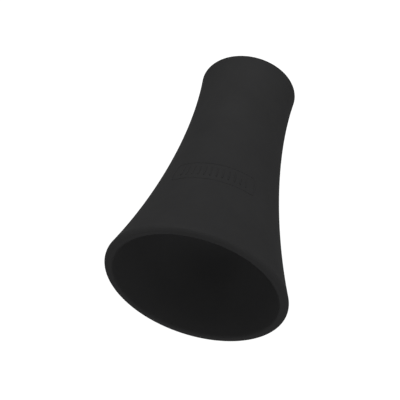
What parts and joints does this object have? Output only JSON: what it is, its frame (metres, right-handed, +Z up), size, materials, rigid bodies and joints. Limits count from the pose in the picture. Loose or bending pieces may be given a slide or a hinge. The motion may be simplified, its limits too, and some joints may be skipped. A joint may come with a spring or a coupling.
{
  "type": "snoot",
  "caption": "Flexible flared silicone snoot with a thick magnetic lip at the wide mouth and a pull-out honeycomb grid in the narrow exit.",
  "frame": {"origin": "centre of the mouth's face, where the light head's front sits", "axes": "+Y along the beam from the mouth to the exit, +Z up through the side with the raised panel, +X to the right when looking along the beam"},
  "size_m": [0.0904, 0.1385, 0.0926],
  "materials": {
    "silicone": "matte, fine moulded grain",
    "nickel": "nickel plate",
    "spring_steel": "bright spring steel",
    "black_nylon": "fine moulded texture",
    "black_anodised": "black anodised foil",
    "rubber": "matte"
  },
  "bodies": {
    "snoot": {"snoot_body": "silicone", "lip_seat_ring": "silicone", "lip_keeper_ring": "spring_steel", "lip_magnet_01": "nickel", "lip_magnet_02": "nickel", "lip_magnet_03": "nickel", "lip_magnet_04": "nickel", "lip_magnet_05": "nickel", "lip_magnet_06": "nickel", "lip_magnet_07": "nickel", "lip_magnet_08": "nickel", "lip_magnet_09": "nickel", "lip_magnet_10": "nickel", "lip_magnet_11": "nickel", "lip_magnet_12": "nickel", "exit_collar": "black_nylon"},
    "grid_cartridge": {"grid_frame": "black_nylon", "grid_friction_ring": "rubber", "honeycomb_core": "black_anodised", "grid_snap_ring": "spring_steel"}
  },
  "joints": [
    {"name": "grid_slide", "type": "slide", "parent": "snoot", "child": "grid_cartridge", "axis": [0, 1, 0], "range_m": [0, 0.03]}
  ]
}
